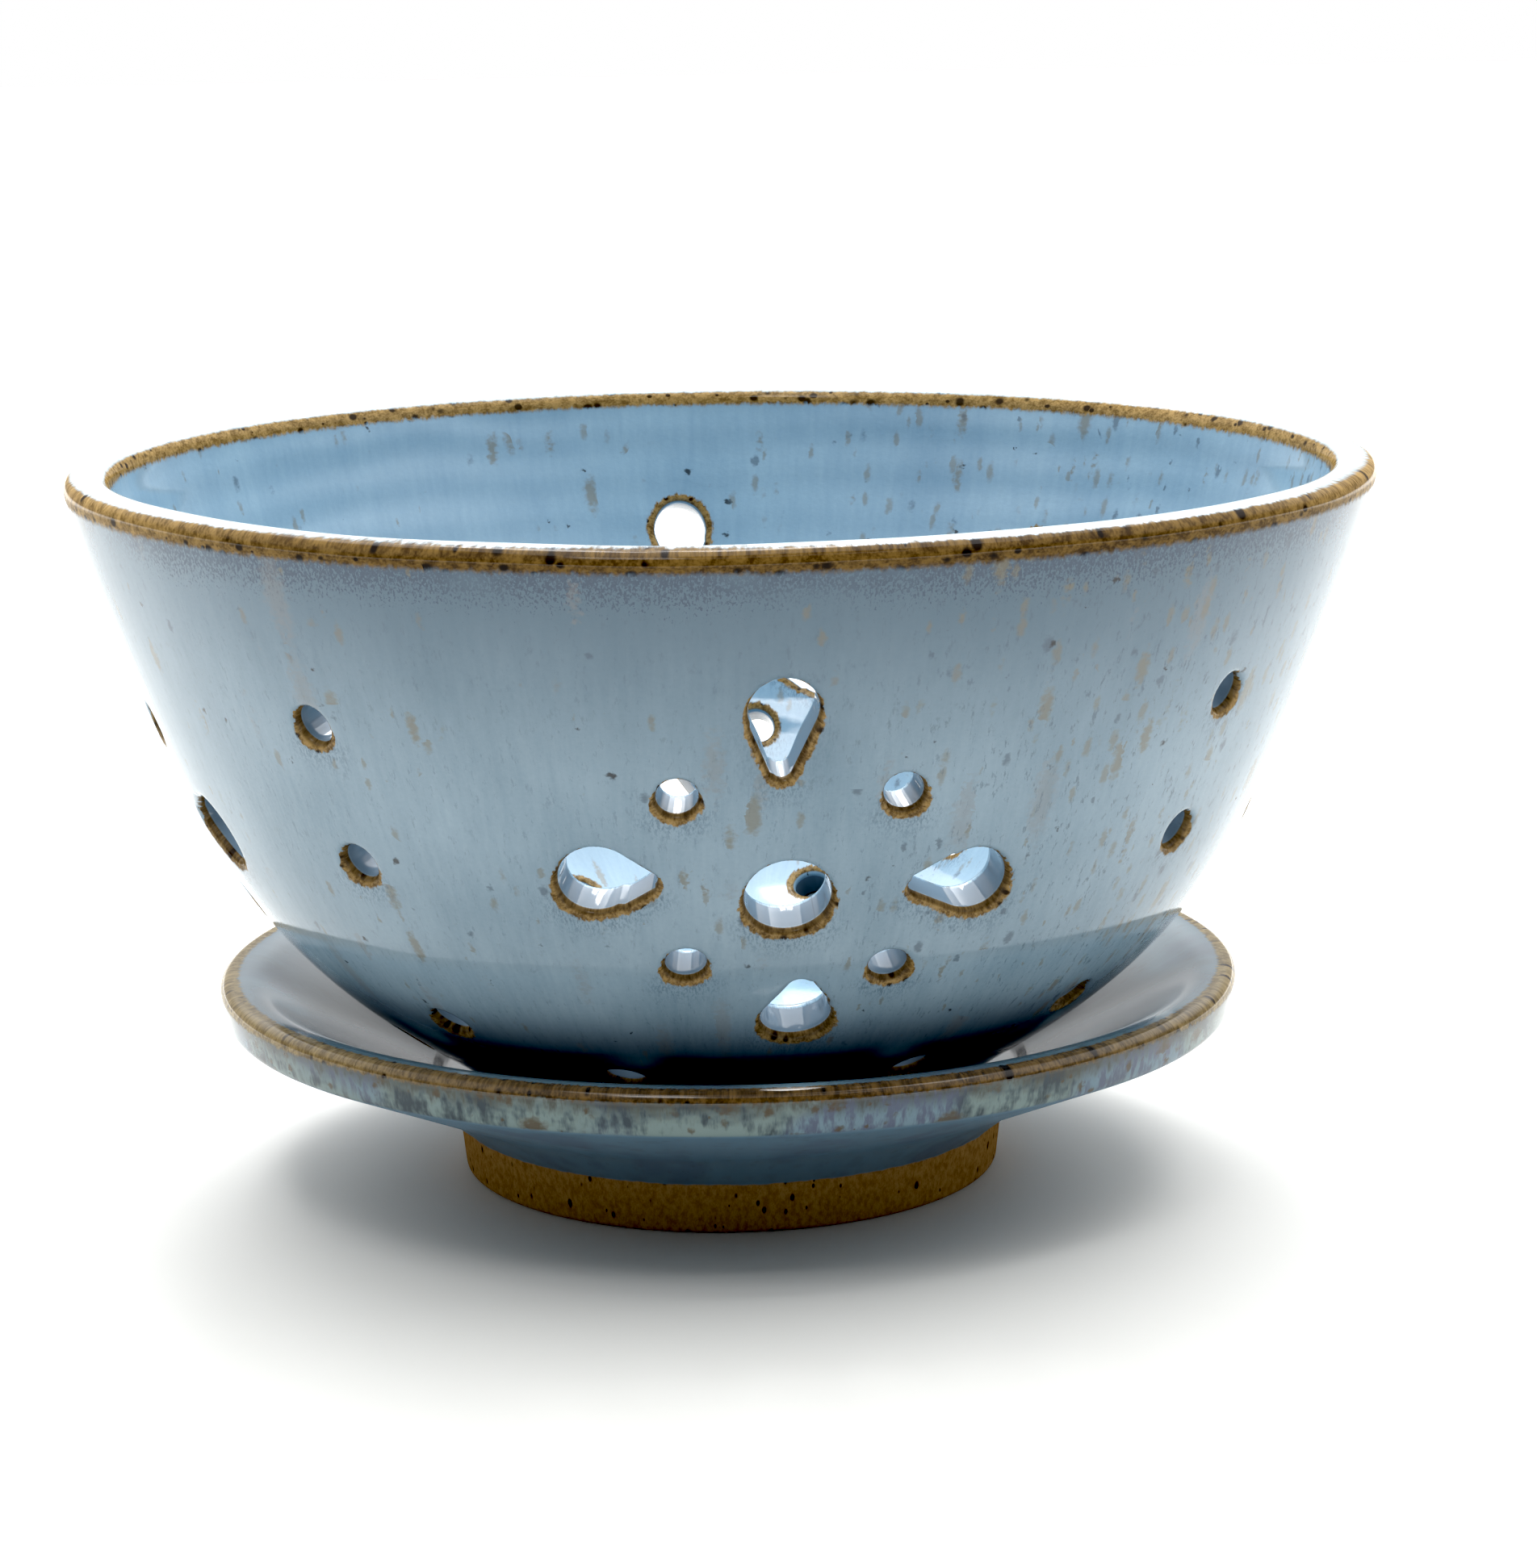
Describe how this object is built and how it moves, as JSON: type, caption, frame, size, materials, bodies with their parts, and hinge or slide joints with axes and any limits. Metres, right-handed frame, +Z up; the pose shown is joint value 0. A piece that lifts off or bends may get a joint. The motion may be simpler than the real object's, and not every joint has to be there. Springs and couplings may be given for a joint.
{
  "type": "berry colander bowl",
  "caption": "Glazed stoneware berry colander: a flared bowl pierced with flowers of round and petal-shaped holes, lifting out of a footed drip saucer.",
  "frame": {"origin": "middle of the circle on which the saucer's foot stands", "axes": "+Z up along the axis that bowl and saucer share; -Y towards the flower of holes that faces the viewer"},
  "size_m": [0.1652, 0.1652, 0.0925],
  "materials": {
    "bowl_glaze": "gloss",
    "saucer_glaze": "gloss"
  },
  "bodies": {
    "saucer": {"drip_saucer": "saucer_glaze"},
    "bowl": {"colander_bowl": "bowl_glaze"}
  },
  "joints": [
    {"name": "bowl_lift", "type": "slide", "parent": "saucer", "child": "bowl", "axis": [0, 0, 1], "range_m": [0, 0.12]}
  ]
}
